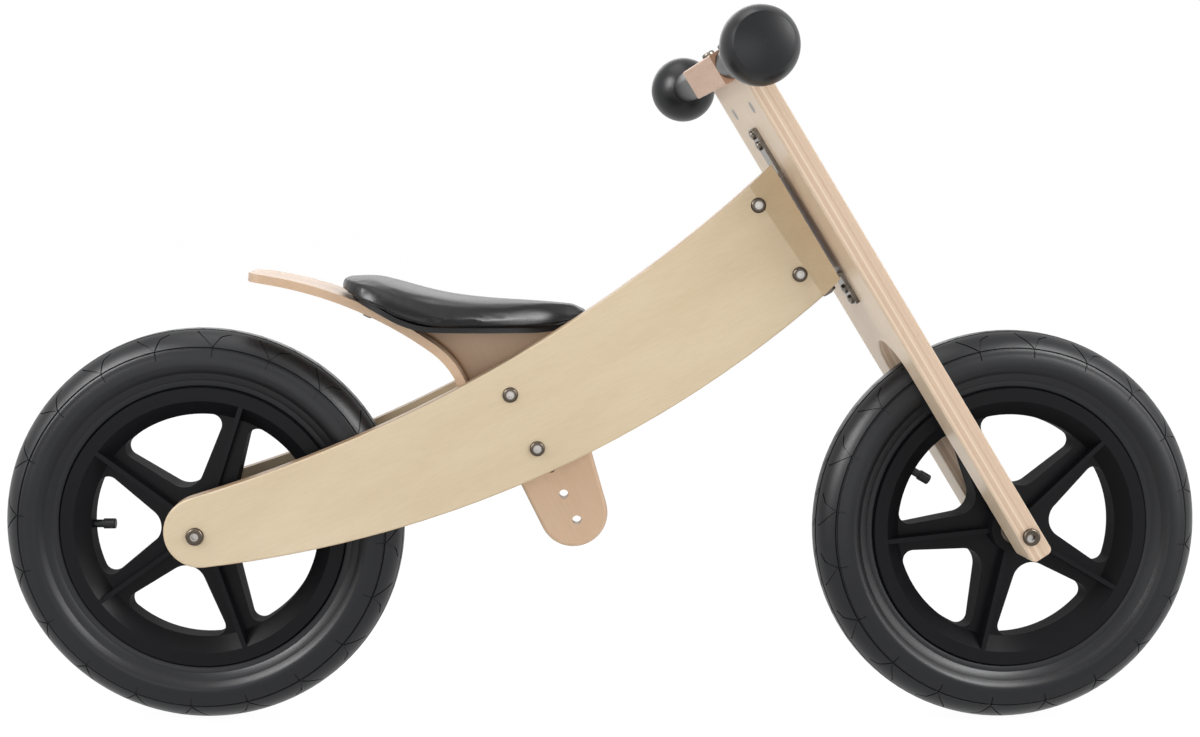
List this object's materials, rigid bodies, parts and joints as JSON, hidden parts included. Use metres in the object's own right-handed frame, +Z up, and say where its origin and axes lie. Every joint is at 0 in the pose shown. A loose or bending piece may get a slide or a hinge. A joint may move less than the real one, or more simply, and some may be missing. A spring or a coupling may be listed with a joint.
{
  "type": "balance bike",
  "caption": "Wooden balance bike for a small child: bowed plank frame, fork board on a hinge, air-filled wheels, padded saddle and a bar with ball-end grips.",
  "frame": {"origin": "on the ground, midway between the two axles, on the bike's middle plane", "axes": "+X forward, +Y to the rider's left, +Z up"},
  "size_m": [0.9255, 0.3801, 0.5369],
  "materials": {
    "birch_plywood": "satin lacquer over pale birch plywood",
    "tan_plywood": "satin lacquer over tan plywood",
    "fork_plywood": "satin lacquer, laminations open at the edges",
    "beam_wood": "satin lacquer over solid wood",
    "solid_wood": "sanded solid wood",
    "tyre_rubber": "matt black rubber, moulded tread",
    "tube_rubber": "thin butyl rubber",
    "rim_plastic": "moulded black nylon, satin",
    "black_rubber": "satin black rubber",
    "black_vinyl": "black vinyl, soft gloss",
    "black_plastic": "black plastic, satin",
    "nylon": "natural nylon",
    "steel": "zinc-plated steel"
  },
  "bodies": {
    "frame": {"side_plank_right": "birch_plywood", "side_plank_left": "birch_plywood", "head_block": "solid_wood", "steering_bush_upper": "nylon", "steering_bush_lower": "nylon", "head_bolts": "steel", "head_nuts": "steel", "seat_plate": "tan_plywood", "seat_spacer_right": "solid_wood", "seat_spacer_left": "solid_wood", "seat_bolts": "steel", "seat_nuts": "steel", "tail_strip": "tan_plywood", "tail_screws": "steel", "seat_base": "black_plastic", "base_screws": "steel", "seat_screws": "steel", "seat_pad": "black_vinyl", "rear_axle_bolt": "steel", "rear_axle_nut": "steel", "rear_axle_spacers": "steel", "rear_axle_sleeve": "steel"},
    "rear_wheel": {"rear_tyre": "tyre_rubber", "rear_tube": "tube_rubber", "rear_rim": "rim_plastic", "rear_bearings": "steel", "rear_valve": "black_rubber", "rear_valve_cap": "black_plastic"},
    "fork": {"fork_board": "fork_plywood", "handlebar": "beam_wood", "grip_left": "black_rubber", "grip_right": "black_rubber", "handlebar_bolts": "steel", "handlebar_barrel_nuts": "steel", "steering_bracket_upper": "steel", "steering_bracket_lower": "steel", "bracket_screws": "steel", "steering_bolt": "steel", "steering_nut": "steel", "steering_washers": "steel", "front_axle_bolt": "steel", "front_axle_nut": "steel", "front_axle_washers": "steel", "front_axle_sleeve": "steel"},
    "front_wheel": {"front_tyre": "tyre_rubber", "front_tube": "tube_rubber", "front_rim": "rim_plastic", "front_bearings": "steel", "front_valve": "black_rubber", "front_valve_cap": "black_plastic"}
  },
  "joints": [
    {"name": "steering", "type": "hinge", "parent": "frame", "child": "fork", "pos_m": [0.13615, 0, 0.38434], "axis": [-0.5299, 0, 0.848], "range_deg": [-17, 7]},
    {"name": "rear_wheel_spin", "type": "hinge", "parent": "frame", "child": "rear_wheel", "pos_m": [-0.3105, 0, 0.1525], "axis": [0, 1, 0], "continuous": true},
    {"name": "front_wheel_spin", "type": "hinge", "parent": "fork", "child": "front_wheel", "pos_m": [0.31042, 0.00218, 0.15245], "axis": [-0.0739, 0.9962, -0.0462], "continuous": true}
  ]
}
